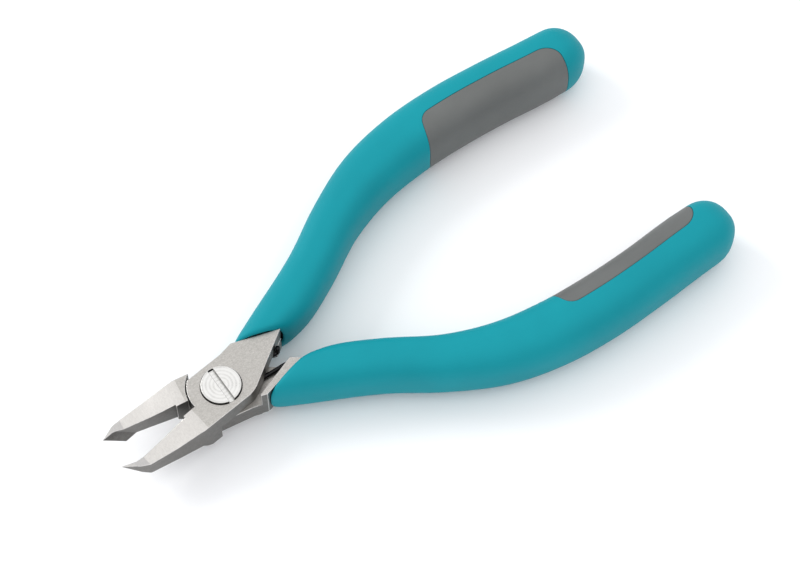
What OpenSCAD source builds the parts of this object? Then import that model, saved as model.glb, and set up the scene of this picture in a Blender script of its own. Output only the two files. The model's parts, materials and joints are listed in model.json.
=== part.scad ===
// Flush cut pliers with an angled tip: two steel halves on a lap joint, a slotted
// pivot screw, a hidden return spring and a pair of two-colour moulded grips.
// Origin on the pivot axis at the head's underside, +X towards the tips, +Z up.
// Shapes are drawn closed; the last step swings each half open by half the opening.

/* [Head] */
// Thickness of the head, both lap plates together
head_t = 8.2; // [6.8:0.1:10]
// Half of the head's width across the lap plates
head_half_w = 5.3; // [4.8:0.1:6.4]
// Radius of each lap plate's round front end
lap_r = 6.75; // [6.2:0.05:8.1]
// Gap between a lap plate's round end and the other half's shoulder
shoulder_gap = 0.3; // [0.2:0.05:0.6]
// Gap between the two lap faces
lap_gap = 0.05; // [0.03:0.01:0.1]
// Total opening between the halves as the spring holds them, in degrees
opening_deg = 15; // [10:0.5:18]
// Slope of the neck's inner edge, in degrees
neck_slope_deg = 29; // [24:1:34]
// Distance from the pivot to the corner where the neck's inner edge starts
neck_start = 4.1; // [3.5:0.1:5]
// Gap across the slope between a neck and the other half's step when closed
step_gap = 0.9; // [0.5:0.1:1.5]
// Length of the relief under the lower half's neck, ahead of its sleeve
heel_relief_l = 0.8; // [0.6:0.1:1.5]
// Depth of that relief
heel_relief_t = 0.3; // [0.2:0.05:0.5]

/* [Jaws] */
// Length from the pivot to the tips
jaw_l = 25.3; // [21:0.1:30]
// Height of the tips above the head's underside
tip_z = 7.7; // [6.4:0.1:7.8]
// Slope of the cutting edges, in degrees
edge_slope_deg = 47; // [38:1:56]
// Height of the lower end of the cutting edges
edge_low_z = 2.8; // [2.4:0.1:3.4]
// Distance from the pivot to the start of the relieved inner faces
relief_start = 9.6; // [8.5:0.1:11]
// Depth of the inner faces' relief, at its start
relief_root = 0.45; // [0.2:0.05:0.6]
// Depth of the bevel behind the cutting edges
bevel_depth = 0.95; // [0.6:0.05:1.2]
// Width of the bevel, square to the cutting edge
bevel_w = 1.8; // [1.2:0.1:2.2]
// Gap left between the closed cutting edges
cut_gap = 0.04; // [0.02:0.01:0.08]

/* [Pivot] */
// Diameter of the pivot screw's head
screw_head_d = 8; // [6.5:0.1:8.4]
// Thickness of the screw's head, of which a part stands proud
screw_head_t = 2.2; // [1.8:0.1:2.4]
// Height that the screw's head stands proud of the upper plate
screw_proud = 0.5; // [0.2:0.05:0.8]
// Width of the screwdriver slot
slot_w = 1.15; // [0.9:0.05:1.4]
// Depth of the screwdriver slot
slot_depth = 0.9; // [0.6:0.05:1.2]
// Diameter of the screw's plain shank, the bearing
shank_d = 5; // [4.2:0.1:5.4]
// Diameter of the screw's threaded end
thread_d = 4; // [3.4:0.1:4.1]
// Diameter of the lock nut
nut_d = 6.6; // [5.5:0.1:7.2]
// Thickness of the lock nut
nut_t = 1.6; // [1.3:0.1:1.9]
// Radial running clearance of the shank in the upper half
bearing_clearance = 0.03; // [0.02:0.01:0.08]
// Clearance round the screw's head and the nut
seat_clearance = 0.15; // [0.1:0.05:0.25]

/* [Return spring] */
// Wire diameter of the return spring
wire_d = 0.9; // [0.7:0.05:1]
// Clearance between the spring's coil and the screw's shank
coil_clearance = 0.45; // [0.3:0.05:0.6]
// Distance from the pivot to the legs' ends
leg_reach = 13.9; // [12:0.1:15]

/* [Grips] */
// Distance from the pivot to the grips' rounded ends
grip_end = 108.5; // [95:0.5:125]
// Distance from the pivot to the middle of each grip's slanted mouth
mouth_mid = 12.7; // [11.5:0.1:13.5]
// Slant of the mouth away from square, in degrees
mouth_slant_deg = 56; // [45:1:60]
// Rake of the mouth over the grip's thickness, in degrees
mouth_rake_deg = 0; // [0:1:20]
// Length of a grip's domed end
dome_l = 6.5; // [5:0.5:8]
// Wall of the soft sleeve round its core
sleeve_wall = 1.9; // [1.4:0.1:2.2]
// Bond gap between the core, the sleeve and the inlay
bond_gap = 0.04; // [0.02:0.01:0.08]
// Thickness of the grey inlay
inlay_t = 1.1; // [0.8:0.1:1.3]
// Length of the grey inlay
inlay_l = 35; // [25:1:42]
// Distance from the inlay's rear end to where the grip's domed end starts
inlay_to_dome = 0.5; // [0.5:0.5:6]
// Half of the angle that the inlay wraps round the grip's inner side
inlay_wrap_deg = 85; // [60:1:88]

/* [Tangs] */
// Width of the steel tang inside a grip
tang_w = 4.2; // [3.6:0.1:4.6]
// Room between the tang and the sleeve's wall, each side, where the grip starts
tang_room = 0.5; // [0.4:0.05:0.8]
// Thickness of the steel tang inside a grip
tang_t = 4; // [3:0.1:5]
// Distance from the tang's end to the grip's rounded end
tang_to_end = 16.5; // [12:1:40]

/* [Hidden] */

steel_colour = [0.80, 0.79, 0.77];
spring_colour = [0.42, 0.42, 0.43];
teal_colour = [0.13, 0.60, 0.65];
grey_colour = [0.38, 0.39, 0.38];
core_colour = [0.16, 0.17, 0.18];

lap_z = head_t / 2;
half_open = opening_deg / 2;
shoulder_r = lap_r + shoulder_gap;
bore_r = shank_d / 2 + bearing_clearance;
thread_hole_r = thread_d / 2 + 0.02;
head_floor_z = head_t + screw_proud - screw_head_t;
nut_floor_z = nut_t + 0.2;
pocket_depth = wire_d / 2 + 0.15;
coil_r = (shank_d + wire_d) / 2 + coil_clearance;
slope_tan = tan(neck_slope_deg);
past = 1;         // how far a cutting body runs past the face that it cuts
curve_fn = 96;    // facets that stand in for a true circle

// Distance back from the pivot to the lower end of the cutting edges
edge_run = (tip_z - edge_low_z) / tan(edge_slope_deg);
edge_low_x = jaw_l - edge_run;

inlay_end = grip_end - dome_l - inlay_to_dome;
inlay_start = inlay_end - inlay_l;
tang_end = grip_end - tang_to_end;

// Grip stations, each [offset outwards, half width, half height].
// They are 11 mm apart along the tool and stretch with the grip's length.
station_0 = 9;
gaps_to_end = 9.045;
station_gap = (grip_end - station_0) / gaps_to_end;
// The first ones are as wide as the tang and the walls beside it need.
root_half_w = tang_w / 2 + sleeve_wall + tang_room;
STATIONS = [
    [2.9, root_half_w, 5.5], [5.2, root_half_w + 0.5, 5.8], [9.0, 4.9, 6.0], [14.0, 5.1, 6.2],
    [17.2, 5.8, 6.5], [18.0, 6.2, 6.8], [17.2, 6.3, 7.0], [15.4, 6.2, 7.1],
    [13.1, 6.2, 7.1], [11.3, 6.0, 7.0], [10.0, 6.0, 7.0]
];
grip_squareness = 2.7;
ring_pitch = 4;
step_l = 0.15;          // length of the step at each end of the inlay's recess
step_a = 0.8;           // the same step round the grip, in degrees
core_start = mouth_mid + 5;
core_end = inlay_end + 2;

// A smooth curve through evenly spaced values, as a Catmull-Rom spline
function spline(p, u) =
    let (
        last = len(p) - 1,
        i = min(max(floor(u), 0), last - 1),
        t = u - i,
        a = p[max(i - 1, 0)], b = p[i], c = p[i + 1], d = p[min(i + 2, last)]
    )
    b + (c - a) * t / 2
      + (a - 2.5 * b + 2 * c - d / 2) * t * t
      + (1.5 * b - 1.5 * c + (d - a) / 2) * t * t * t;

function station(x) = spline(STATIONS, (x - station_0) / station_gap);
function offset_at(x) = station(x)[0];
function heading_at(x) = atan2(offset_at(x + 0.5) - offset_at(x - 0.5), 1);

// How much of the mouth's slant is left at a distance x, easing out to nothing
function slant_left(x) =
    let (u = min(max((x - mouth_mid) / 24, 0), 1)) pow(1 - u, 2);

// Shrink of the section over the domed end
function dome(x) =
    let (u = max(x - (grip_end - dome_l), 0) / dome_l)
    sqrt(max(1 - u * u, 0.004));

function signed_pow(v, e) = sign(v) * pow(abs(v), e);

// One point of a grip's skin at distance x and angle a, sunk by depth.
// Angle 0 faces the other handle and angle 90 faces up.
function skin(x, a, depth, end = grip_end) =
    let (
        s = station(x),
        slant = mouth_slant_deg * slant_left(x),
        rake = tan(mouth_rake_deg) * slant_left(x),
        h = heading_at(x) + slant,
        shrink = dome(x + grip_end - end),
        hw = (s[1] / cos(slant * 0.72) - depth) * shrink,
        hh = (s[2] - depth) * shrink,
        w = hw * signed_pow(cos(a), 2 / grip_squareness),
        z = hh * signed_pow(sin(a), 2 / grip_squareness)
    )
    [-x - w * sin(h) + z * rake, -s[0] + w * cos(h), lap_z + z];

// Evenly spaced distances along a grip, and those over a domed end
function spaced(from, to) =
    let (n = max(ceil((to - from) / ring_pitch), 1))
    [for (i = [0 : n]) from + (to - from) * i / n];
function dome_places(end) = [for (i = [1 : 5]) end - dome_l * (1 - sin(i * 18))];

// Angles round a grip: first those of the inlay, then the rest of the way round
inlay_angles = [for (j = [0 : 16]) -inlay_wrap_deg + inlay_wrap_deg * j / 8];
other_angles =
    let (from = inlay_wrap_deg + step_a)
    [for (j = [0 : 16]) from + (360 - 2 * from) * j / 16];

// A ring of the skin, sunk by depth, and sunk by recess where the inlay goes
function ring(x, depth, end, recess = 0) = concat(
    [for (a = inlay_angles) skin(x, a, depth + recess, end)],
    [for (a = other_angles) skin(x, a, depth, end)]
);

// Faces between two neighbouring rings of n points that start at point k
function band(k, n) = [
    for (j = [0 : n - 1]) each [
        [k + j, k + (j + 1) % n, k + n + j],
        [k + (j + 1) % n, k + n + (j + 1) % n, k + n + j]
    ]
];

// The same faces seen from the other side
function turned(faces) = [for (f = faces) [for (i = [len(f) - 1 : -1 : 0]) f[i]]];

function cap(k, n) = [for (j = [0 : n - 1]) k + j];

// The end of a folded ring, whose second half runs back beside its first: a strip
// of triangles between facing points, because the outline as a whole is C-shaped
function folded_cap(k, n) = [
    for (j = [0 : n / 2 - 2]) each [
        [k + j, k + j + 1, k + n - 2 - j],
        [k + j, k + n - 2 - j, k + n - 1 - j]
    ]
];

// A closed solid through a list of rings, each with the same number of points
module loft(rings, folded = false) {
    n = len(rings[0]);
    last = (len(rings) - 1) * n;
    polyhedron(
        points = [for (r = rings) each r],
        faces = concat(
            turned(folded ? folded_cap(0, n) : [cap(0, n)]),
            [for (i = [0 : len(rings) - 2]) each band(i * n, n)],
            folded ? folded_cap(last, n) : [cap(last, n)]
        ),
        convexity = 6
    );
}

// A cup: outer rings and the rings of a cavity, joined round the open mouth
module cup(outer, inner) {
    n = len(outer[0]);
    k = len(outer) * n;
    mouth = [for (j = [0 : n - 1]) each [
        [j, k + j, (j + 1) % n],
        [(j + 1) % n, k + j, k + (j + 1) % n]
    ]];
    polyhedron(
        points = [for (r = concat(outer, inner)) each r],
        faces = concat(
            mouth,
            [for (i = [0 : len(outer) - 2]) each band(i * n, n)],
            [cap(k - n, n)],
            turned([for (i = [0 : len(inner) - 2]) each band(k + i * n, n)]),
            turned([cap(k + (len(inner) - 1) * n, n)])
        ),
        convexity = 10
    );
}

// Points along the tang's centre line, and its outline of a given width
function tang_side(w, from, to, side) =
    let (n = 10)
    [for (i = [0 : n])
        let (x = from + (to - from) * i / n, h = heading_at(x))
        [-x - side * w / 2 * sin(h), -offset_at(x) + side * w / 2 * cos(h)]];

module tang(w, t, to) {
    outer = tang_side(w, mouth_mid - 2, to, -1);
    inner = tang_side(w, mouth_mid - 2, to, 1);
    translate([0, 0, lap_z - t / 2])
        linear_extrude(t)
            polygon(concat(outer, [for (i = [len(inner) - 1 : -1 : 0]) inner[i]]));
}

// Points of an arc round [cx, cy]
function arc(cx, cy, r, a0, a1, n) =
    [for (i = [0 : n]) let (a = a0 + (a1 - a0) * i / n) [cx + r * cos(a), cy + r * sin(a)]];

// The neck's inner edge at distance x back, for the half whose handle is at -Y
function neck_inner(x) = head_half_w - (x - neck_start) * slope_tan;

neck_corner_r = 6;
neck_end = mouth_mid + 9;       // the neck is drawn this far, then cut off at the mouth
neck_flare = 0.15;              // how much the neck's outer edge leans outwards

// Plan of the lap plate and neck behind the pivot
module neck_plan() {
    t = neck_corner_r * tan(neck_slope_deg / 2);
    polygon(concat(
        [[0, -head_half_w], [0, head_half_w]],
        arc(-neck_start + t, head_half_w - neck_corner_r, neck_corner_r,
            90, 90 + neck_slope_deg, 6),
        [
            [-neck_end, neck_inner(neck_end)],
            [-neck_end, -head_half_w - (neck_end - neck_start) * neck_flare],
            [-neck_start, -head_half_w]
        ]
    ));
}

// The room that the other half's neck and plate need, ahead of this neck's step
module ahead_of_step() {
    step_front = neck_start + step_gap / sin(neck_slope_deg);
    polygon([
        [-step_front, -head_half_w],
        [-neck_end, -head_half_w + (neck_end - step_front) * slope_tan],
        [-neck_end, 3 * head_half_w], [past, 3 * head_half_w],
        [past, -3 * head_half_w], [-step_front, -3 * head_half_w]
    ]);
}

// Everything behind the sleeve's mouth plane, which is slanted and may be raked, and
// behind the same plane moved forwards by a distance ahead
module behind_mouth(ahead) {
    h = heading_at(mouth_mid) + mouth_slant_deg;
    big = 60;
    translate([-mouth_mid, -offset_at(mouth_mid), lap_z])
        rotate([0, 0, h])
            rotate([0, atan(tan(mouth_rake_deg) * cos(h)), 0])
                translate([-big + ahead, -big / 2, -big / 2])
                    cube(big);
}

// Jaw seen from above, full thickness, for the half whose jaw is at +Y
module jaw_plan() {
    polygon([
        [0, cut_gap / 2], [jaw_l, cut_gap / 2], [jaw_l - 1.3, 1.0],
        [jaw_l - 3.1, 2.35], [jaw_l - 4.9, 3.1], [14.2, 4.3],
        [8.2, head_half_w], [0, head_half_w]
    ]);
}

// Jaw seen from the side
module jaw_profile() {
    polygon([
        [-past, 0], [7.2, 0], [8.4, 0.9], [9.4, 1.9], [15, 2.4],
        [edge_low_x, edge_low_z], [jaw_l, tip_z], [jaw_l - 2.3, tip_z - 0.25],
        [jaw_l - 4.8, tip_z - 1.1], [15, tip_z - 0.65], [9.6, head_t - 0.2],
        [7.6, head_t], [-past, head_t]
    ]);
}

// The relief and the bevel behind the cutting edge, cut from the inner face
module jaw_relief() {
    far = 14;
    intersection() {
        translate([edge_low_x, 0, edge_low_z])
            rotate([0, -edge_slope_deg, 0])
                translate([-far, 0, 0])
                    rotate([90, 0, 90])
                        linear_extrude(2 * far)
                            polygon([
                                [cut_gap / 2, 0], [bevel_depth, bevel_w],
                                [relief_root, 9.5], [relief_root, far],
                                [-past, far], [-past, 0]
                            ]);
        translate([relief_start, -past, -past])
            cube([jaw_l, 2 * past + bevel_depth, head_t + 2 * past]);
    }
}

module jaw() {
    difference() {
        intersection() {
            linear_extrude(head_t) jaw_plan();
            translate([0, 2 * head_half_w, 0])
                rotate([90, 0, 0])
                    linear_extrude(4 * head_half_w) jaw_profile();
        }
        jaw_relief();
    }
}

// The front of the lap plate: a true arc, cut off at the head's two sides
module lap_front(z0, z1) {
    intersection() {
        translate([0, 0, z0]) cylinder(r = lap_r, h = z1 - z0, $fn = curve_fn);
        translate([0, -head_half_w, z0]) cube([lap_r, 2 * head_half_w, z1 - z0]);
    }
}

// One steel half without its jaw, its lap plate on top and its handle at -Y
module plate_and_tang() {
    z0 = lap_z + lap_gap / 2;
    lap_front(z0, head_t);
    difference() {
        union() {
            difference() {
                linear_extrude(head_t) neck_plan();
                behind_mouth(bond_gap);
            }
            tang(tang_w, tang_t, tang_end);
        }
        translate([0, 0, -past]) linear_extrude(z0 + past) ahead_of_step();
    }
}

// Room for the other half's lap plate, cut from this half's jaw root
module shoulder_cut(z0, z1) {
    translate([0, 0, z0])
        cylinder(r = shoulder_r, h = z1 - z0, $fn = curve_fn);
}

// The pocket for the spring's coil and legs, in the lap face at height z0
module spring_pocket(z0) {
    translate([0, 0, z0]) {
        cylinder(r = coil_r + wire_d / 2 + 0.2, h = pocket_depth, $fn = curve_fn);
        linear_extrude(pocket_depth)
            polygon([
                [-2, 0.5 - coil_r], [-9, 0.3 - coil_r], [-17, -0.8 - coil_r],
                [-17, coil_r + 0.8], [-9, coil_r - 0.3], [-2, coil_r - 0.5]
            ]);
    }
}

// Lifts the end of the head's flat underside clear of the sleeve's lip
module heel_relief() {
    intersection() {
        behind_mouth(heel_relief_l);
        translate([-neck_end, -neck_end, head_t - heel_relief_t])
            cube([2 * neck_end, 2 * neck_end, past]);
    }
}

// Turns a shape drawn for the upper half into the lower half's place
module flipped() {
    translate([0, 0, head_t]) rotate([180, 0, 0]) children();
}

module open_upper() { rotate([0, 0, half_open]) children(); }
module open_lower() { rotate([0, 0, -half_open]) children(); }

module upper_half() {
    color(steel_colour) open_upper() difference() {
        union() {
            plate_and_tang();
            difference() {
                jaw();
                shoulder_cut(-past, lap_z + lap_gap / 2);
            }
        }
        spring_pocket(lap_z);
        translate([0, 0, -past]) cylinder(r = bore_r, h = head_t + 2 * past, $fn = curve_fn);
        translate([0, 0, head_floor_z - lap_gap / 2])
            cylinder(d = screw_head_d + 2 * seat_clearance, h = head_t, $fn = curve_fn);
    }
}

module lower_half() {
    color(steel_colour) open_lower() difference() {
        union() {
            flipped() difference() {
                plate_and_tang();
                heel_relief();
            }
            difference() {
                mirror([0, 1, 0]) jaw();
                shoulder_cut(lap_z - lap_gap / 2, head_t + past);
            }
        }
        translate([0, 0, lap_z - pocket_depth]) spring_pocket(0);
        translate([0, 0, -past])
            cylinder(r = thread_hole_r, h = head_t + 2 * past, $fn = curve_fn);
        translate([0, 0, -past])
            cylinder(d = nut_d + 2 * seat_clearance, h = nut_floor_z + past, $fn = curve_fn);
    }
}

// Slotted head, bearing shank down to the lap face and threaded end in the lower half
module pivot_screw() {
    shank_end = lap_z - pocket_depth;
    color(steel_colour) difference() {
        union() {
            translate([0, 0, head_floor_z])
                cylinder(d = screw_head_d, h = screw_head_t, $fn = curve_fn);
            translate([0, 0, shank_end])
                cylinder(d = shank_d, h = head_floor_z - shank_end, $fn = curve_fn);
            translate([0, 0, 0.2])
                cylinder(d = thread_d, h = head_t - 1, $fn = curve_fn);
        }
        translate([-slot_w / 2, -screw_head_d, head_t + screw_proud - slot_depth])
            cube([slot_w, 2 * screw_head_d, slot_depth + past]);
    }
}

// Round lock nut with two spanner slots, sunk in the lower half's underside
module pivot_nut() {
    color(steel_colour) open_lower() difference() {
        translate([0, 0, 0.1]) cylinder(d = nut_d, h = nut_t, $fn = curve_fn);
        translate([0, 0, -past]) cylinder(r = thread_hole_r, h = head_t, $fn = curve_fn);
        translate([-0.5, -nut_d, -past]) cube([1, 2 * nut_d, past + 0.1 + nut_t / 3]);
    }
}

// Where a leg rests against its half's neck, in that half's closed place
function leg_tip() =
    let (off = wire_d / 2 + 0.05)
    [-leg_reach - off * sin(neck_slope_deg), neck_inner(leg_reach) + off * cos(neck_slope_deg)];

// A round wire between two points
module wire(a, b) {
    d = b - a;
    translate(a)
        rotate([0, acos(d[2] / norm(d)), atan2(d[1], d[0])])
            cylinder(d = wire_d, h = norm(d), $fn = 24);
}

leg_spread = 18;    // angle from the coil's back to where a leg leaves it

module leg(side) {
    tip = leg_tip();
    start_a = 180 + side * leg_spread;
    start = [coil_r * cos(start_a), coil_r * sin(start_a), lap_z];
    knee = [tip[0], side * tip[1], lap_z];
    rotate([0, 0, side * half_open]) {
        wire(start, knee);
        translate(knee) sphere(d = wire_d * 1.06, $fn = 24);
        wire(knee, knee + [0, 0, side * 2]);
    }
}

// A hairpin spring: one open turn round the shank and a leg to each neck
module return_spring() {
    gap_a = leg_spread + half_open - 5;
    color(spring_colour) {
        translate([0, 0, lap_z])
            rotate([0, 0, 180 + gap_a])
                rotate_extrude(angle = 360 - 2 * gap_a, $fn = 72)
                    translate([coil_r, 0]) circle(d = wire_d, $fn = 24);
        leg(1);
        leg(-1);
    }
}

// Rings of the stiff core's surface, grown by a gap; the sleeve's cavity takes
// the same rings, so that their facets stay parallel
function core_rings(gap) =
    [for (x = concat(spaced(core_start, core_end - dome_l), dome_places(core_end + gap)))
        ring(x, sleeve_wall + bond_gap - gap, core_end + gap)];

// Stiff core moulded round the tang, drawn for the upper grip
module grip_core() {
    difference() {
        loft(core_rings(0));
        tang(tang_w + 2 * bond_gap, tang_t + 2 * bond_gap, tang_end + bond_gap);
    }
}

// Soft sleeve with a recess for the inlay, drawn for the upper grip
module grip_sleeve() {
    recess = inlay_t + bond_gap;
    cup(
        concat(
            [for (x = spaced(mouth_mid, inlay_start - step_l)) ring(x, 0, grip_end)],
            [for (x = spaced(inlay_start, inlay_end)) ring(x, 0, grip_end, recess)],
            [for (x = spaced(inlay_end + step_l, grip_end - dome_l)) ring(x, 0, grip_end)],
            [for (x = dome_places(grip_end)) ring(x, 0, grip_end)]
        ),
        concat(
            [for (x = spaced(mouth_mid, core_start - step_l)) ring(x, sleeve_wall, grip_end)],
            core_rings(bond_gap)
        )
    );
}

// Grey panel let into the sleeve's inner side, drawn for the upper grip
module grip_inlay() {
    n = len(inlay_angles);
    fit = 1 - step_a / inlay_wrap_deg;
    loft([
        for (x = spaced(inlay_start, inlay_end))
            let (inset = x == inlay_start ? bond_gap : x == inlay_end ? -bond_gap : 0)
            concat(
                [for (a = inlay_angles) skin(x + inset, a * fit, 0)],
                [for (j = [n - 1 : -1 : 0]) skin(x + inset, inlay_angles[j] * fit, inlay_t)]
            )
    ], folded = true);
}

module upper_grip_core() { color(core_colour) open_upper() grip_core(); }
module lower_grip_core() { color(core_colour) open_lower() flipped() grip_core(); }
module upper_grip_sleeve() { color(teal_colour) open_upper() grip_sleeve(); }
module lower_grip_sleeve() { color(teal_colour) open_lower() flipped() grip_sleeve(); }
module upper_grip_inlay() { color(grey_colour) open_upper() grip_inlay(); }
module lower_grip_inlay() { color(grey_colour) open_lower() flipped() grip_inlay(); }

upper_half();
lower_half();
pivot_screw();
pivot_nut();
return_spring();
upper_grip_core();
lower_grip_core();
upper_grip_sleeve();
lower_grip_sleeve();
upper_grip_inlay();
lower_grip_inlay();
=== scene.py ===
import json
from math import asin, atan2, ceil, copysign, cos, hypot, pi, radians, sin, sqrt

import bmesh
import bpy
from mathutils import Matrix, Vector


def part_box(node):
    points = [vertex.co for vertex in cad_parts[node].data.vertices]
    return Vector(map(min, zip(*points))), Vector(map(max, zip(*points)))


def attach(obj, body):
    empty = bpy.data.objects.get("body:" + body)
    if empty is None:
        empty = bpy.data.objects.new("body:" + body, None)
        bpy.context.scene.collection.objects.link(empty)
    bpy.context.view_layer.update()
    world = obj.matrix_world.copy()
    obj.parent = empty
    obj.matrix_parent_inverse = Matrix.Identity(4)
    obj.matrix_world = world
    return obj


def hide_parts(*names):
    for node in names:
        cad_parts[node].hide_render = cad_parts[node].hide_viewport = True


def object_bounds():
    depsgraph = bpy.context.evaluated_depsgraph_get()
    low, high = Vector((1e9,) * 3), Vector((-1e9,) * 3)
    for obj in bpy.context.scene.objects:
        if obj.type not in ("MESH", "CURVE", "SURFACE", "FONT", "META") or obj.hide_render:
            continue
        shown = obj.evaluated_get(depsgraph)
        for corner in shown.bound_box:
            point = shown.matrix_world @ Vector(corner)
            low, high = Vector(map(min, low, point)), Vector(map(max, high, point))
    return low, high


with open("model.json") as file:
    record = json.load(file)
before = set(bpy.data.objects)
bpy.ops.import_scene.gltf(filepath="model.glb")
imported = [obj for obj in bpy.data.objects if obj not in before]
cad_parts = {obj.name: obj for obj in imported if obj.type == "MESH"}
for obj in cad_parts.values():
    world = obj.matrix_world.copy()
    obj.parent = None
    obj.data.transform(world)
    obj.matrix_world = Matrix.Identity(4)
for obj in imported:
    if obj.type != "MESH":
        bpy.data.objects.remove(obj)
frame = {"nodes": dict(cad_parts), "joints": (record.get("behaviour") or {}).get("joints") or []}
cad_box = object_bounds()

MM = 0.001
nodes = frame["nodes"]

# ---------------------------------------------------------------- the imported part's sizes

head_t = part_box("upper_half")[1].z / MM
lap_z = head_t / 2
half_open = frame["joints"][0]["range_deg"][1] / 2

# Grip sizes in millimetres, as the part's own design has them
GRIP_END = 108.5
MOUTH_MID = 12.7
MOUTH_SLANT = 56
DOME_L = 6.5
SLEEVE_WALL = 1.9
INLAY_START = 66.3
INLAY_END = 101.5
INLAY_T = 1.1
SQUARENESS = 2.7     # power of the grips' section: 2 is an ellipse, more is squarer
SLANT_FADE = 24      # the mouth's slant eases out over this distance
SLANT_WIDENING = 0.72
TIP_SHRINK = 0.004   # square of the section left at the very end of the dome
STATION_0 = 9
GAPS_TO_END = 9.045
STATION_GAP = (GRIP_END - STATION_0) / GAPS_TO_END
STATIONS = [
    (2.9, 4.5, 5.5), (5.2, 5.0, 5.8), (9.0, 4.9, 6.0), (14.0, 5.1, 6.2),
    (17.2, 5.8, 6.5), (18.0, 6.2, 6.8), (17.2, 6.3, 7.0), (15.4, 6.2, 7.1),
    (13.1, 6.2, 7.1), (11.3, 6.0, 7.0), (10.0, 6.0, 7.0),
]

# Return spring sizes in millimetres, as the part's own design has them
WIRE_R = 0.45
COIL_R = 3.4
LEG_REACH = 13.9
LEG_SPREAD = 18      # degrees from the coil's back to where a leg leaves it
HEAD_HALF_W = 5.3
NECK_START = 4.1
NECK_SLOPE = 29


# ---------------------------------------------------------------- small helpers

def clamp(value, low, high):
    return min(max(value, low), high)


def mix(a, b, t):
    return a + (b - a) * t


def linear(r, g, b):
    """An sRGB colour of 0 to 255 as the linear values that shaders take."""
    def channel(c):
        c = c / 255
        return c / 12.92 if c <= 0.04045 else ((c + 0.055) / 1.055) ** 2.4
    return (channel(r), channel(g), channel(b), 1.0)


def new_object(name, points, faces):
    mesh = bpy.data.meshes.new(name)
    mesh.from_pydata([tuple(c * MM for c in p) for p in points], [], faces)
    mesh.validate()
    piece = bpy.data.objects.new(name, mesh)
    bpy.context.scene.collection.objects.link(piece)
    return piece


def finish_mesh(piece, weld=1e-6):
    """Welds a mesh, turns its faces outwards and shades it smooth."""
    work = bmesh.new()
    work.from_mesh(piece.data)
    bmesh.ops.remove_doubles(work, verts=work.verts, dist=weld)
    bmesh.ops.recalc_face_normals(work, faces=work.faces)
    for face in work.faces:
        face.smooth = True
    work.to_mesh(piece.data)
    work.free()


# ---------------------------------------------------------------- the grips' shape

def spline(rows, u):
    """A Catmull-Rom curve through evenly spaced rows of values."""
    last = len(rows) - 1
    i = int(clamp(u // 1, 0, last - 1))
    t = u - i
    a, b, c, d = rows[max(i - 1, 0)], rows[i], rows[i + 1], rows[min(i + 2, last)]
    return [
        q + (r - p) * t / 2
        + (p - 2.5 * q + 2 * r - s / 2) * t * t
        + (1.5 * q - 1.5 * r + (s - p) / 2) * t * t * t
        for p, q, r, s in zip(a, b, c, d)
    ]


def station(x):
    return spline(STATIONS, (x - STATION_0) / STATION_GAP)


def heading(x):
    return atan2(station(x + 0.5)[0] - station(x - 0.5)[0], 1)


def slant_left(x):
    return (1 - clamp((x - MOUTH_MID) / SLANT_FADE, 0, 1)) ** 2


def signed_pow(value, power):
    return copysign(abs(value) ** power, value)


def skin(x, a, depth=0.0):
    """A point of a closed grip's skin at distance x back and angle a, sunk by depth."""
    offset, half_w, half_h = station(x)
    slant = radians(MOUTH_SLANT) * slant_left(x)
    turn = heading(x) + slant
    past_dome = max(x - (GRIP_END - DOME_L), 0) / DOME_L
    shrink = sqrt(max(1 - past_dome * past_dome, TIP_SHRINK))
    wide = half_w / cos(slant * SLANT_WIDENING)
    w = (wide - depth) * shrink * signed_pow(cos(a), 2 / SQUARENESS)
    z = (half_h - depth) * shrink * signed_pow(sin(a), 2 / SQUARENESS)
    return (-x - w * sin(turn), -offset + w * cos(turn), lap_z + z)


def placed(side):
    """The move from a closed upper grip's place to a grip of the opened tool."""
    if side == "upper":
        return Matrix.Rotation(radians(half_open), 4, "Z")
    flip = Matrix.Translation((0, 0, head_t * MM)) @ Matrix.Rotation(pi, 4, "X")
    return Matrix.Rotation(radians(-half_open), 4, "Z") @ flip


# ---------------------------------------------------------------- grip sleeves and inlays

AROUND = 40          # spaces round the inlay's patch of the skin
REST_AROUND = 36     # spaces round the rest of the skin
ALONG = 36           # spaces along the inlay's patch
PATCH_X = (INLAY_START - 1.6, INLAY_END + 1.2)
FRONT_CORNER = 2.0   # radii of the inlay's corners
REAR_CORNER = 4.0
FRONT_BULGE = 2.6    # how far the inlay's front edge bows forwards in its middle
BULGE_FADE = 16      # the bow eases out over this distance
GROOVE_ROOM = 1.8    # skin kept beside the inlay's edges, as part of its patch


def quarter_arc(half_w, half_h, steps=90):
    """Lengths along a quarter of a typical section, one for each degree."""
    lengths, last = [0.0], (half_w, 0.0)
    for k in range(1, steps + 1):
        a = radians(k)
        point = (
            half_w * signed_pow(cos(a), 2 / SQUARENESS) if k < steps else 0.0,
            half_h * signed_pow(sin(a), 2 / SQUARENESS),
        )
        lengths.append(lengths[-1] + hypot(point[0] - last[0], point[1] - last[1]))
        last = point
    return lengths


ARC = quarter_arc(6.2, 7.1)


def angle_at(s):
    """The angle at a length s round the section from its inner side, either way."""
    length = abs(s)
    turns = length // ARC[-1]
    rest = length - turns * ARC[-1]
    if turns % 2:
        rest = ARC[-1] - rest
    k = next((k for k in range(1, len(ARC)) if ARC[k] >= rest), len(ARC) - 1)
    part = k - 1 + (rest - ARC[k - 1]) / (ARC[k] - ARC[k - 1])
    if turns % 2:
        part = 90 - part
    return copysign(radians(90 * turns + part), s)


INLAY_S = (-ARC[-1] + 1.0, ARC[-1] + 0.6)     # the inlay's edges round the grip
PATCH_S = (INLAY_S[0] - GROOVE_ROOM, INLAY_S[1] + GROOVE_ROOM)
ROUND_S = 4 * ARC[-1]


def patch_angle(j):
    return angle_at(mix(*PATCH_S, j / AROUND))


def rest_angle(j):
    return angle_at(mix(PATCH_S[1], PATCH_S[0] + ROUND_S, j / REST_AROUND))


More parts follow.
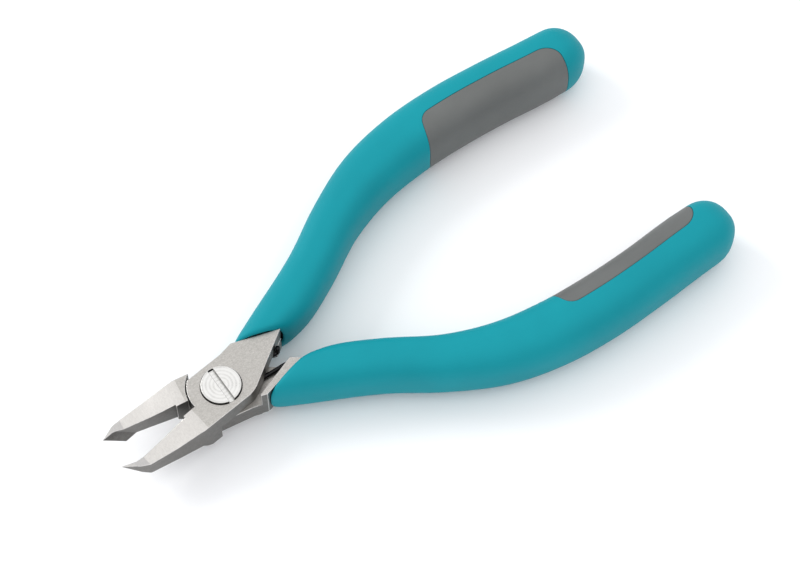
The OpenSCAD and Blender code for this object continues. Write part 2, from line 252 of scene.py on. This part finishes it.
ANGLES = (
    [patch_angle(j) for j in range(AROUND + 1)] + [rest_angle(j) for j in range(1, REST_AROUND)]
)


def patch_loop():
    """Grid places round the border of the inlay's patch, in order."""
    return (
        [(i, 0) for i in range(ALONG)] + [(ALONG, j) for j in range(AROUND)]
        + [(i, AROUND) for i in range(ALONG, 0, -1)] + [(0, j) for j in range(AROUND, 0, -1)]
    )


def outline_point(i, j, inset):
    """The inlay's rounded outline at a border place of the patch: distance and angle."""
    x = mix(INLAY_START, INLAY_END, i / ALONG)
    s = mix(*INLAY_S, j / AROUND)
    corner = FRONT_CORNER if i < ALONG / 2 else REAR_CORNER
    cx = clamp(x, INLAY_START + corner, INLAY_END - corner)
    cs = clamp(s, INLAY_S[0] + corner, INLAY_S[1] - corner)
    away = hypot(x - cx, s - cs)
    if away > 1e-9:
        x = cx + (x - cx) * (corner - inset) / away
        s = cs + (s - cs) * (corner - inset) / away
    return bowed(x, s), angle_at(s)


def bowed(x, s):
    """Moves a place near the inlay's front back, towards the inlay's two long edges."""
    near_front = clamp(1 - (x - INLAY_START) / BULGE_FADE, 0, 1)
    return x + FRONT_BULGE * near_front * (s / ARC[-1]) ** 2


def inner_point(i, j, inset=2.0):
    """A place of the grid that fills the outline, a little inside it."""
    x = mix(INLAY_START + inset, INLAY_END - inset, i / ALONG)
    s = mix(INLAY_S[0] + inset, INLAY_S[1] - inset, j / AROUND)
    return bowed(x, s), angle_at(s)


def add_band(faces, first, second):
    """Quads between two closed loops of the same length."""
    n = len(first)
    for k in range(n):
        m = (k + 1) % n
        faces.append((first[k], first[m], second[m], second[k]))


class Grid:
    """Collects points and faces, and remembers each point's number."""

    def __init__(self):
        self.points, self.faces = [], []

    def loop(self, points):
        start = len(self.points)
        self.points.extend(points)
        return list(range(start, len(self.points)))

    def filled(self, border, point_at):
        """Fills the inside of the patch's loop with a regular grid."""
        numbers = {place: number for place, number in zip(patch_loop(), border)}
        for i in range(1, ALONG):
            for j in range(1, AROUND):
                numbers[i, j] = len(self.points)
                self.points.append(point_at(i, j))
        for i in range(ALONG):
            for j in range(AROUND):
                self.faces.append((
                    numbers[i, j], numbers[i + 1, j], numbers[i + 1, j + 1], numbers[i, j + 1]
                ))


def lip_rings():
    """Distance and depth of each ring that rounds the mouth's thick lip."""
    return [
        (2.4, 1.9), (0.8, 1.85), (0.6, 1.6), (0.55, 1.32), (0.2, 1.22), (0.03, 1.1),
        (0.0, 0.9), (0.1, 0.64), (0.34, 0.38), (0.75, 0.17), (1.3, 0.05), (2.0, 0.0),
    ]


def spread(start, end, step):
    n = ceil((end - start) / step)
    return [mix(start, end, k / n) for k in range(n + 1)]


def sleeve(side):
    """Soft sleeve: a cup with a rounded lip, a domed end and a recess for the inlay."""
    grid = Grid()
    rings = [(MOUTH_MID + x, depth) for x, depth in lip_rings()]
    inner = [(x, SLEEVE_WALL) for x in spread(MOUTH_MID + 5, GRIP_END - 7, 4)]
    outer = [(x, 0.0) for x in spread(MOUTH_MID + 3.2, PATCH_X[0], 1.4)[:-1]]
    start = asin((PATCH_X[1] - GRIP_END + DOME_L) / DOME_L)    # the patch ends on the dome
    dome = [(GRIP_END - DOME_L * (1 - sin(mix(start, pi / 2, k / 12))), 0.0) for k in range(13)]

    def ring(x, depth):
        return grid.loop([skin(x, a, depth) for a in ANGLES])

    cavity = [ring(x, depth) for x, depth in reversed(inner)]
    front = cavity + [ring(x, depth) for x, depth in rings + outer]
    for first, second in zip(front, front[1:]):
        add_band(grid.faces, first, second)
    grid.faces.append(tuple(cavity[0]))
    rear = [ring(x, depth) for x, depth in dome]
    for first, second in zip(rear, rear[1:]):
        add_band(grid.faces, first, second)
    tip = len(grid.points)
    end = [sum(grid.points[k][c] for k in rear[-1]) / len(rear[-1]) for c in range(3)]
    grid.points.append(tuple(end))
    for k, number in enumerate(rear[-1]):
        grid.faces.append((number, rear[-1][(k + 1) % len(ANGLES)], tip))

    # The stretch beside the inlay: full-length rows over the rest of the skin
    rows = []
    for i in range(ALONG + 1):
        x = mix(*PATCH_X, i / ALONG)
        rows.append(grid.loop([skin(x, a) for a in ANGLES[AROUND:] + ANGLES[:1]]))
    for first, second in zip(rows, rows[1:]):
        for k in range(REST_AROUND):
            grid.faces.append((first[k], first[k + 1], second[k + 1], second[k]))
    first_row = grid.loop([skin(PATCH_X[0], a) for a in ANGLES])
    add_band(grid.faces, front[-1], first_row)

    # The patch: from its straight border in to the rounded outline, then the recess
    def toward(t):
        loop = []
        for i, j in patch_loop():
            x, a = outline_point(i, j, 0)
            loop.append(skin(mix(mix(*PATCH_X, i / ALONG), x, t), mix(patch_angle(j), a, t)))
        return grid.loop(loop)

    def sunk(inset, depth):
        return grid.loop([skin(*outline_point(i, j, inset), depth) for i, j in patch_loop()])

    floor_depth = INLAY_T - 0.2
    loops = [toward(t) for t in (0, 0.45, 0.8)]
    loops += [sunk(0, 0.0), sunk(0.03, 0.02), sunk(0.05, 0.1), sunk(0.05, floor_depth - 0.1)]
    loops += [sunk(0.25, floor_depth)]
    loops += [grid.loop([skin(*inner_point(i, j), floor_depth) for i, j in patch_loop()])]
    for first, second in zip(loops, loops[1:]):
        add_band(grid.faces, first, second)
    grid.filled(loops[-1], lambda i, j: skin(*inner_point(i, j), floor_depth))

    piece = new_object(f"{side}_sleeve", grid.points, grid.faces)
    finish_mesh(piece, weld=2e-6)
    piece.data.transform(placed(side))
    subdivide(piece)
    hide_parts(f"{side}_grip_sleeve")
    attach(piece, f"{side}_body")
    piece.data.materials.append(soft_teal())
    return piece


def inlay(side):
    """Grey panel with rounded corners, let into the sleeve."""
    grid = Grid()
    foot = INLAY_T - 0.25

    def ring(inset, depth):
        return grid.loop([skin(*outline_point(i, j, inset), depth) for i, j in patch_loop()])

    def inner(depth):
        return grid.loop([skin(*inner_point(i, j), depth) for i, j in patch_loop()])

    loops = [inner(foot), ring(0.3, foot), ring(0.1, foot - 0.1), ring(0.1, 0.3)]
    loops += [ring(0.11, 0.1), ring(0.16, 0.03), ring(0.26, 0.0), ring(0.8, 0.0), inner(0.0)]
    for first, second in zip(loops, loops[1:]):
        add_band(grid.faces, first, second)
    grid.filled(loops[0], lambda i, j: skin(*inner_point(i, j), foot))
    grid.filled(loops[-1], lambda i, j: skin(*inner_point(i, j), 0.0))

    piece = new_object(f"{side}_inlay", grid.points, grid.faces)
    finish_mesh(piece)
    piece.data.transform(placed(side))
    subdivide(piece)
    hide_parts(f"{side}_grip_inlay")
    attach(piece, f"{side}_body")
    piece.data.materials.append(grey_panel())
    return piece


def subdivide(piece):
    modifier = piece.modifiers.new("smooth", "SUBSURF")
    modifier.levels = modifier.render_levels = 1


# ---------------------------------------------------------------- return spring

def wire(name, path, body, around=20):
    """A round wire with closed ends along a path of points in millimetres."""
    path = [Vector(p) for p in path]
    ahead = path[1:] + path[-1:]
    behind = path[:1] + path[:-1]
    ways = [(after - before).normalized() for after, before in zip(ahead, behind)]
    side = ways[0].orthogonal().normalized()
    grid, rings = Grid(), []
    for place, way in zip(path, ways):
        side = (side - way * side.dot(way)).normalized()
        other = way.cross(side)
        turns = [2 * pi * k / around for k in range(around)]
        spokes = [side * cos(a) + other * sin(a) for a in turns]
        rings.append(grid.loop([tuple(place + spoke * WIRE_R) for spoke in spokes]))
    for first, second in zip(rings, rings[1:]):
        add_band(grid.faces, first, second)
    grid.faces += [tuple(rings[0]), tuple(reversed(rings[-1]))]
    piece = new_object(name, grid.points, grid.faces)
    finish_mesh(piece)
    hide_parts("return_spring")
    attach(piece, body)
    piece.data.materials.append(drawn_wire())


def leg_path(side):
    """From the coil out to the neck that the leg presses on, then a short way into it."""
    off = WIRE_R + 0.05
    slope = radians(NECK_SLOPE)
    inner = HEAD_HALF_W - (LEG_REACH - NECK_START) * sin(slope) / cos(slope)
    turn = Matrix.Rotation(radians(side * half_open), 3, "Z")
    knee = turn @ Vector((-LEG_REACH - off * sin(slope), side * (inner + off * cos(slope)), lap_z))
    start_a = pi + side * radians(LEG_SPREAD + half_open)
    start = Vector((COIL_R * cos(start_a), COIL_R * sin(start_a), lap_z))
    bend = [knee.lerp(start, 0.06), knee + Vector((0, 0, side * 0.12)), knee + Vector((0, 0, side * 0.8))]
    return [start.lerp(knee, k / 8) for k in range(8)] + bend + [knee + Vector((0, 0, side * 2))]


def return_spring():
    """The coil and the lower leg, and the upper leg, which turns with the upper half."""
    gap = radians(LEG_SPREAD + half_open)
    turns = [mix(pi + gap - 0.09, 3 * pi - gap, k / 72) for k in range(73)]
    coil = [(COIL_R * cos(a), COIL_R * sin(a), lap_z) for a in turns]
    wire("spring_coil_and_leg", coil + leg_path(-1)[1:], "lower_body")
    wire("spring_leg", leg_path(1), "upper_body")


# ---------------------------------------------------------------- steel pieces

EDGE_ANGLE = 20      # a sharper turn than this is an edge, in degrees
JAW_ROOT = 7.5       # the jaws' own finish starts this far ahead of the pivot


def steel_piece(name, node, body, materials, edge_w):
    """A copy of a CAD piece with its flat faces joined and its edges broken.

    The materials are those of the level faces, the walls (a darker colour, painted shade), the jaws'
    level faces if the piece has jaws, and last the broken edges (a brighter colour, painted highlight).
    """
    mesh = nodes[node].data.copy()
    mesh.materials.clear()
    piece = bpy.data.objects.new(name, mesh)
    bpy.context.scene.collection.objects.link(piece)
    work = bmesh.new()
    work.from_mesh(mesh)
    bmesh.ops.remove_doubles(work, verts=work.verts, dist=2e-6)
    bmesh.ops.dissolve_limit(
        work, angle_limit=radians(0.6), verts=work.verts, edges=work.edges
    )
    bmesh.ops.recalc_face_normals(work, faces=work.faces)
    for face in work.faces:
        face.smooth = True
        on_jaw = face.calc_center_median().x > JAW_ROOT * MM
        # faces that are mostly upright take material 1, whose darker colour is painted shade
        face.material_index = 1 if abs(face.normal.z) < 0.5 else 2 if on_jaw else 0
    weight = work.edges.layers.float.new("bevel_weight_edge")
    for edge in work.edges:
        sharp = edge.is_manifold and edge.calc_face_angle() > radians(EDGE_ANGLE)
        edge.smooth = not sharp
        edge[weight] = 1.0 if sharp and edge.is_convex else 0.0
    work.to_mesh(mesh)
    work.free()
    for material in materials:
        mesh.materials.append(material)
    bevel = piece.modifiers.new("edges", "BEVEL")
    bevel.width = edge_w * MM
    bevel.segments = 2
    bevel.limit_method = "WEIGHT"
    bevel.use_clamp_overlap = False
    bevel.harden_normals = True
    bevel.miter_outer = "MITER_ARC"
    # the bevel's faces take the last material, whose brighter colour is a painted highlight
    bevel.material = len(materials) - 1
    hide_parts(node)
    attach(piece, body)
    return piece


# ---------------------------------------------------------------- materials

class Nodes:
    """Builds one node material with short calls."""

    def __init__(self, name):
        self.material = bpy.data.materials.new(name)
        self.material.use_nodes = True
        self.tree = self.material.node_tree
        self.shader = self.tree.nodes["Principled BSDF"]
        self.place = self.tree.nodes.new("ShaderNodeTexCoord").outputs["Object"]

    def link(self, source, target):
        self.tree.links.new(source, target)

    def stretched(self, scale, turn=(0, 0, 0)):
        """Object coordinates, scaled differently along each axis."""
        node = self.tree.nodes.new("ShaderNodeMapping")
        node.inputs["Scale"].default_value = scale
        node.inputs["Rotation"].default_value = turn
        self.link(self.place, node.inputs["Vector"])
        return node.outputs["Vector"]

    def noise(self, scale, detail=3.0, rough=0.55, vector=None):
        node = self.tree.nodes.new("ShaderNodeTexNoise")
        node.inputs["Scale"].default_value = scale
        node.inputs["Detail"].default_value = detail
        node.inputs["Roughness"].default_value = rough
        self.link(vector or self.place, node.inputs["Vector"])
        return node.outputs["Fac"]

    def ramp(self, fac, stops):
        """A colour ramp through (place, colour) stops; a number stands for a grey."""
        node = self.tree.nodes.new("ShaderNodeValToRGB")
        points = node.color_ramp.elements
        while len(points) < len(stops):
            points.new(0.5)
        for point, (at, colour) in zip(points, stops):
            point.position = at
            point.color = colour if isinstance(colour, tuple) else (colour, colour, colour, 1)
        self.link(fac, node.inputs["Fac"])
        return node.outputs["Color"]

    def spread(self, fac, low, high):
        """Stretches a 0 to 1 value to the range from low to high."""
        node = self.tree.nodes.new("ShaderNodeMapRange")
        node.inputs["To Min"].default_value = low
        node.inputs["To Max"].default_value = high
        self.link(fac, node.inputs["Value"])
        return node.outputs["Result"]

    def math(self, kind, a, b):
        node = self.tree.nodes.new("ShaderNodeMath")
        node.operation = kind
        for socket, value in zip(node.inputs, (a, b)):
            if isinstance(value, (int, float)):
                socket.default_value = value
            else:
                self.link(value, socket)
        return node.outputs["Value"]

    def blend(self, first, second, share):
        """The sum of two values, the first in this share and the second in the rest."""
        rest = round(1 - share, 6)
        return self.math("ADD", self.math("MULTIPLY", first, share), self.math("MULTIPLY", second, rest))

    def bump(self, height, depth_mm, below=None):
        node = self.tree.nodes.new("ShaderNodeBump")
        node.inputs["Distance"].default_value = depth_mm * MM
        self.link(height, node.inputs["Height"])
        if below is not None:
            self.link(below, node.inputs["Normal"])
        return node.outputs["Normal"]

    def set(self, **values):
        for name, value in values.items():
            self.shader.inputs[name.replace("_", " ")].default_value = value

    def feed(self, **sources):
        for name, source in sources.items():
            self.link(source, self.shader.inputs[name.replace("_", " ")])


made = {}


def once(build):
    """Keeps one copy of each material."""
    def get():
        if build.__name__ not in made:
            made[build.__name__] = build()
        return made[build.__name__]
    return get


def brushed(name, dark, light, stretch, rough):
    """Steel with fine grain stretched along one way, in a colour between two."""
    m = Nodes(name)
    grain = m.noise(1, 5, 0.7, m.stretched(stretch))
    cloud = m.noise(240, 3, 0.6)
    speck = m.noise(7000, 2, 0.6)
    tone = m.blend(grain, speck, 0.6)
    m.feed(Base_Color=m.ramp(tone, [(0.36, dark), (0.64, light)]))
    m.feed(Roughness=m.spread(m.blend(grain, cloud, 0.5), *rough))
    m.feed(Normal=m.bump(speck, 0.003, m.bump(grain, 0.004)))
    m.set(Metallic=1.0)
    return m.material


@once
def satin_steel():
    """The lap plates: fine blasted and ground steel."""
    return brushed(
        "satin_steel", linear(158, 155, 150), linear(194, 191, 186), (2600, 5200, 5200), (0.30, 0.46)
    )


@once
def jaw_steel():
    """The jaws' upper and lower faces: ground across their length, and brighter."""
    return brushed(
        "jaw_steel", linear(186, 183, 179), linear(206, 203, 199), (5200, 1700, 1700), (0.28, 0.42)
    )


@once
def painted_shade_wall():
    """The halves' upright walls: ground along their length, with a darker colour that is painted shade.
    """
    return brushed(
        "painted_shade_wall", linear(98, 97, 94), linear(132, 130, 127), (1100, 1100, 5200), (0.28, 0.44)
    )


@once
def painted_highlight_edge():
    """The thin broken edges, given a brighter colour that is a painted highlight."""
    m = Nodes("painted_highlight_edge")
    # the light steel colours below paint a highlight on the edges; the noise only varies it
    highlight_tone = m.noise(1500, 4, 0.6)
    m.feed(Base_Color=m.ramp(highlight_tone, [(0.3, linear(196, 194, 190)), (0.7, linear(222, 220, 216))]))
    m.feed(Roughness=m.spread(highlight_tone, 0.16, 0.34))
    m.feed(Normal=m.bump(highlight_tone, 0.002))
    m.set(Metallic=1.0)
    return m.material


@once
def turned_steel():
    """The screw's face: rings left by the lathe, with a few fine scuffs."""
    m = Nodes("turned_steel")
    rings = m.tree.nodes.new("ShaderNodeTexWave")
    rings.wave_type = "RINGS"
    rings.rings_direction = "Z"
    rings.inputs["Scale"].default_value = 420
    rings.inputs["Distortion"].default_value = 1.2
    rings.inputs["Detail"].default_value = 2
    rings.inputs["Detail Scale"].default_value = 0.6
    m.link(m.place, rings.inputs["Vector"])
    broad = m.noise(420, 3, 0.6)
    scuff = m.noise(1, 4, 0.75, m.stretched((1300, 4200, 900), (0, 0, 0.6)))
    tone = m.blend(rings.outputs["Fac"], broad, 0.3)
    m.feed(Base_Color=m.ramp(tone, [(0.25, linear(200, 199, 196)), (0.6, linear(222, 221, 218))]))
    m.feed(Roughness=m.spread(m.math("MULTIPLY", tone, scuff), 0.24, 0.46))
    m.feed(Normal=m.bump(scuff, 0.0015, m.bump(rings.outputs["Fac"], 0.0018)))
    m.set(Metallic=1.0)
    return m.material


@once
def drawn_wire():
    """Dark spring wire, with fine lines."""
    m = Nodes("drawn_wire")
    lines = m.noise(2600, 4, 0.6)
    m.feed(Base_Color=m.ramp(lines, [(0.3, linear(34, 34, 35)), (0.7, linear(60, 60, 61))]))
    m.feed(Roughness=m.spread(lines, 0.28, 0.45))
    m.feed(Normal=m.bump(lines, 0.003))
    m.set(Metallic=1.0)
    return m.material


@once
def soft_teal():
    """Soft moulded grip: matt, with the fine grain of the mould and faint handling marks."""
    m = Nodes("soft_teal")
    grain = m.noise(5200, 2, 0.6)
    cloud = m.noise(70, 3, 0.55)
    m.feed(Base_Color=m.ramp(cloud, [(0.25, linear(9, 135, 146)), (0.75, linear(11, 142, 153))]))
    m.feed(Roughness=m.spread(m.blend(grain, cloud, 0.5), 0.44, 0.60))
    m.feed(Normal=m.bump(m.noise(420, 2, 0.5), 0.02, m.bump(grain, 0.012)))
    m.shader.inputs["Specular IOR Level"].default_value = 0.14
    return m.material


@once
def grey_panel():
    """The inlays: matt grey, finely grained."""
    m = Nodes("grey_panel")
    grain = m.noise(4200, 3, 0.6)
    cloud = m.noise(90, 3, 0.55)
    m.feed(Base_Color=m.ramp(cloud, [(0.25, linear(90, 92, 90)), (0.75, linear(99, 101, 99))]))
    m.feed(Roughness=m.spread(grain, 0.42, 0.62))
    m.feed(Normal=m.bump(grain, 0.012))
    m.shader.inputs["Specular IOR Level"].default_value = 0.45
    return m.material


@once
def core_plastic():
    """The stiff cores inside the grips: dark and matt."""
    m = Nodes("core_plastic")
    grain = m.noise(3000, 3, 0.6)
    m.feed(Base_Color=m.ramp(grain, [(0.3, linear(38, 40, 43)), (0.7, linear(48, 51, 54))]))
    m.feed(Roughness=m.spread(grain, 0.45, 0.6))
    m.feed(Normal=m.bump(grain, 0.01))
    return m.material


# ---------------------------------------------------------------- the stage

def lens_target():
    return Vector((-42.40, -0.09, 4.35)) * MM


def add_camera():
    data = bpy.data.cameras.new("camera")
    data.sensor_width = 36
    data.lens = 112.27
    data.clip_start = 0.01
    data.clip_end = 20
    camera = bpy.data.objects.new("camera", data)
    camera.location = Vector((91.0, 192.0, 446.3)) * MM
    right = Vector((-0.8213, 0.5705, 0)).normalized()
    back = (camera.location - lens_target()).normalized()
    up = back.cross(right).normalized()
    turn = Matrix((right, up, back)).transposed()
    camera.rotation_euler = turn.to_euler()
    bpy.context.scene.collection.objects.link(camera)
    bpy.context.scene.camera = camera


def add_softbox(name, place, size, power):
    """A square softbox that faces the tool; place and size in metres."""
    data = bpy.data.lights.new(name, "AREA")
    data.size = size
    data.energy = power
    light = bpy.data.objects.new(name, data)
    light.location = Vector(place)
    light.rotation_euler = (lens_target() - light.location).to_track_quat("-Z", "Y").to_euler()
    bpy.context.scene.collection.objects.link(light)


def add_floor():
    half = 2.0
    z = cad_box[0].z / MM
    edge = half / MM
    corners = [(-edge, -edge, z), (edge, -edge, z), (edge, edge, z), (-edge, edge, z)]
    floor = new_object("floor", corners, [(0, 1, 2, 3)])
    m = Nodes("white_paper")
    m.feed(Base_Color=m.ramp(m.noise(30, 2, 0.5), [(0.3, 0.93), (0.7, 0.95)]))
    m.set(Roughness=0.8)
    m.shader.inputs["Specular IOR Level"].default_value = 0.1
    floor.data.materials.append(m.material)


def add_world():
    """A dome of soft light: white overhead and a pale blue grey towards the horizon."""
    world = bpy.data.worlds.new("studio")
    world.use_nodes = True
    tree = world.node_tree
    place = tree.nodes.new("ShaderNodeTexCoord")
    split = tree.nodes.new("ShaderNodeSeparateXYZ")
    ramp = tree.nodes.new("ShaderNodeValToRGB")
    stops = [
        (0.0, (0.50, 0.52, 0.58)), (0.25, (0.58, 0.60, 0.65)),
        (0.6, (0.84, 0.85, 0.88)), (1.0, (1, 1, 1)),
    ]
    points = ramp.color_ramp.elements
    while len(points) < len(stops):
        points.new(0.5)
    for point, (at, colour) in zip(points, stops):
        point.position = at
        point.color = (*colour, 1)
    tree.links.new(place.outputs["Generated"], split.inputs["Vector"])
    tree.links.new(split.outputs["Z"], ramp.inputs["Fac"])
    shade = tree.nodes["Background"]
    tree.links.new(ramp.outputs["Color"], shade.inputs["Color"])
    shade.inputs["Strength"].default_value = 1.3
    bpy.context.scene.world = world
    bpy.context.scene.view_settings.view_transform = "Standard"


# ---------------------------------------------------------------- build

add_camera()
add_world()
add_floor()
add_softbox("key", (0.40, -0.80, 0.62), 0.45, 5.0)

for side in ("upper", "lower"):
    sleeve(side)
    inlay(side)
    # each half's walls get a darker colour as painted shade, and its broken edges a brighter one as
    # painted highlight
    steel_piece(
        f"{side}_plate_and_jaw", f"{side}_half", f"{side}_body",
        [satin_steel(), painted_shade_wall(), jaw_steel(), painted_highlight_edge()], 0.09,
    )
    nodes[f"{side}_grip_core"].data.materials.clear()
    nodes[f"{side}_grip_core"].data.materials.append(core_plastic())
for name, node in (("screw", "pivot_screw"), ("lock_nut", "pivot_nut")):
    # the screw's and nut's walls get painted shade, and their broken edges a painted highlight
    steel_piece(
        name, node, "lower_body",
        [turned_steel(), painted_shade_wall(), painted_highlight_edge()], 0.1,
    )
return_spring()
